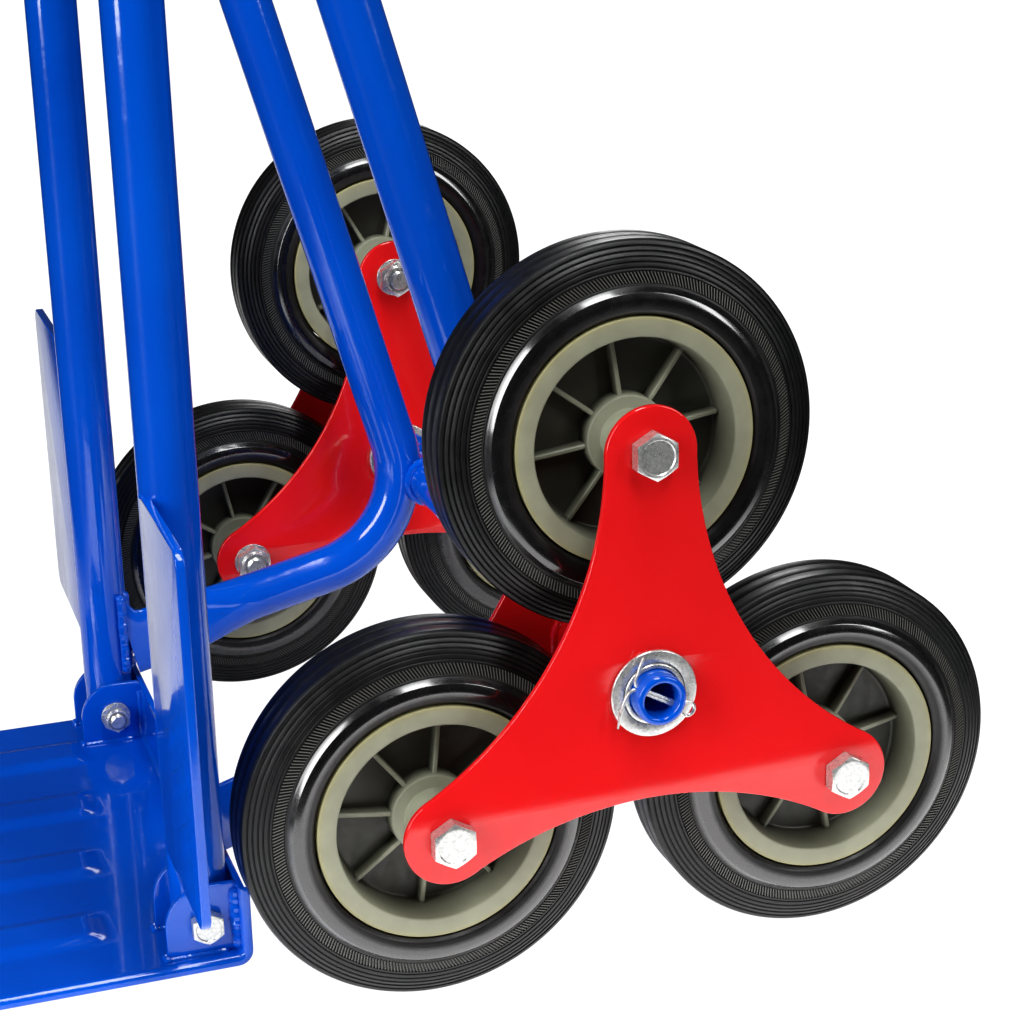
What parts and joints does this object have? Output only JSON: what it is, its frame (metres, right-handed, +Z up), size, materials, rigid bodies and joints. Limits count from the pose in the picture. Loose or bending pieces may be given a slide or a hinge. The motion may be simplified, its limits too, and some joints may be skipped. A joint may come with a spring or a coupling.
{
  "type": "stair climbing hand truck",
  "caption": "Two-handled welded tube hand truck with a folding toe plate and freely turning three-wheeled star clusters that roll it over steps.",
  "frame": {"origin": "on the ground, at the middle of the truck's length and width", "axes": "+Z up, +X to the truck's right, +Y to its rear, away from the toe plate"},
  "size_m": [0.454, 0.5438, 1.0982],
  "materials": {
    "blue_paint": "glossy cobalt blue powder coat",
    "red_paint": "glossy signal red powder coat",
    "zinc_plate": "bright zinc plating",
    "tyre_rubber": "semi-gloss moulded black rubber",
    "hub_plastic": "moulded grey-green plastic",
    "grip_rubber": "matt ribbed black rubber"
  },
  "bodies": {
    "frame": {"right_upright": "blue_paint", "right_rear_strut": "blue_paint", "right_guard_blade": "blue_paint", "right_hand_grip": "grip_rubber", "right_hinge_bolt": "zinc_plate", "right_hinge_nut": "zinc_plate", "right_split_pin": "zinc_plate", "right_axle_washer": "zinc_plate", "left_upright": "blue_paint", "left_rear_strut": "blue_paint", "left_guard_blade": "blue_paint", "left_hand_grip": "grip_rubber", "left_hinge_bolt": "zinc_plate", "left_hinge_nut": "zinc_plate", "left_split_pin": "zinc_plate", "left_axle_washer": "zinc_plate", "lower_cross_bar": "blue_paint", "middle_cross_bar": "blue_paint", "upper_cross_bar": "blue_paint", "axle": "blue_paint"},
    "toe_plate": {"toe_plate": "blue_paint"},
    "right_cluster": {"right_outer_star_plate": "red_paint", "right_inner_star_plate": "red_paint", "right_centre_sleeve": "red_paint", "right_axle_bush": "zinc_plate", "right_top_spacer_tube": "zinc_plate", "right_top_wheel_bolt": "zinc_plate", "right_top_wheel_nut": "zinc_plate", "right_front_spacer_tube": "zinc_plate", "right_front_wheel_bolt": "zinc_plate", "right_front_wheel_nut": "zinc_plate", "right_rear_spacer_tube": "zinc_plate", "right_rear_wheel_bolt": "zinc_plate", "right_rear_wheel_nut": "zinc_plate"},
    "right_top_wheel": {"right_top_tyre": "tyre_rubber", "right_top_hub": "hub_plastic"},
    "right_front_wheel": {"right_front_tyre": "tyre_rubber", "right_front_hub": "hub_plastic"},
    "right_rear_wheel": {"right_rear_tyre": "tyre_rubber", "right_rear_hub": "hub_plastic"},
    "left_cluster": {"left_outer_star_plate": "red_paint", "left_inner_star_plate": "red_paint", "left_centre_sleeve": "red_paint", "left_axle_bush": "zinc_plate", "left_top_spacer_tube": "zinc_plate", "left_top_wheel_bolt": "zinc_plate", "left_top_wheel_nut": "zinc_plate", "left_front_spacer_tube": "zinc_plate", "left_front_wheel_bolt": "zinc_plate", "left_front_wheel_nut": "zinc_plate", "left_rear_spacer_tube": "zinc_plate", "left_rear_wheel_bolt": "zinc_plate", "left_rear_wheel_nut": "zinc_plate"},
    "left_top_wheel": {"left_top_tyre": "tyre_rubber", "left_top_hub": "hub_plastic"},
    "left_front_wheel": {"left_front_tyre": "tyre_rubber", "left_front_hub": "hub_plastic"},
    "left_rear_wheel": {"left_rear_tyre": "tyre_rubber", "left_rear_hub": "hub_plastic"}
  },
  "joints": [
    {"name": "toe_plate_fold", "type": "hinge", "parent": "frame", "child": "toe_plate", "pos_m": [0, -0.06775, 0.0193], "axis": [-1, 0, 0], "range_deg": [0, 90]},
    {"name": "right_cluster_turn", "type": "hinge", "parent": "frame", "child": "right_cluster", "pos_m": [0.1818, 0.10525, 0.13], "axis": [1, 0, 0], "continuous": true},
    {"name": "right_top_wheel_spin", "type": "hinge", "parent": "right_cluster", "child": "right_top_wheel", "pos_m": [0.1818, 0.10525, 0.23], "axis": [1, 0, 0], "continuous": true},
    {"name": "right_front_wheel_spin", "type": "hinge", "parent": "right_cluster", "child": "right_front_wheel", "pos_m": [0.1818, 0.01865, 0.08], "axis": [1, 0, 0], "continuous": true},
    {"name": "right_rear_wheel_spin", "type": "hinge", "parent": "right_cluster", "child": "right_rear_wheel", "pos_m": [0.1818, 0.19185, 0.08], "axis": [1, 0, 0], "continuous": true},
    {"name": "left_cluster_turn", "type": "hinge", "parent": "frame", "child": "left_cluster", "pos_m": [-0.1818, 0.10525, 0.13], "axis": [1, 0, 0], "continuous": true},
    {"name": "left_top_wheel_spin", "type": "hinge", "parent": "left_cluster", "child": "left_top_wheel", "pos_m": [-0.1818, 0.10525, 0.23], "axis": [1, 0, 0], "continuous": true},
    {"name": "left_front_wheel_spin", "type": "hinge", "parent": "left_cluster", "child": "left_front_wheel", "pos_m": [-0.1818, 0.01865, 0.08], "axis": [1, 0, 0], "continuous": true},
    {"name": "left_rear_wheel_spin", "type": "hinge", "parent": "left_cluster", "child": "left_rear_wheel", "pos_m": [-0.1818, 0.19185, 0.08], "axis": [1, 0, 0], "continuous": true}
  ]
}
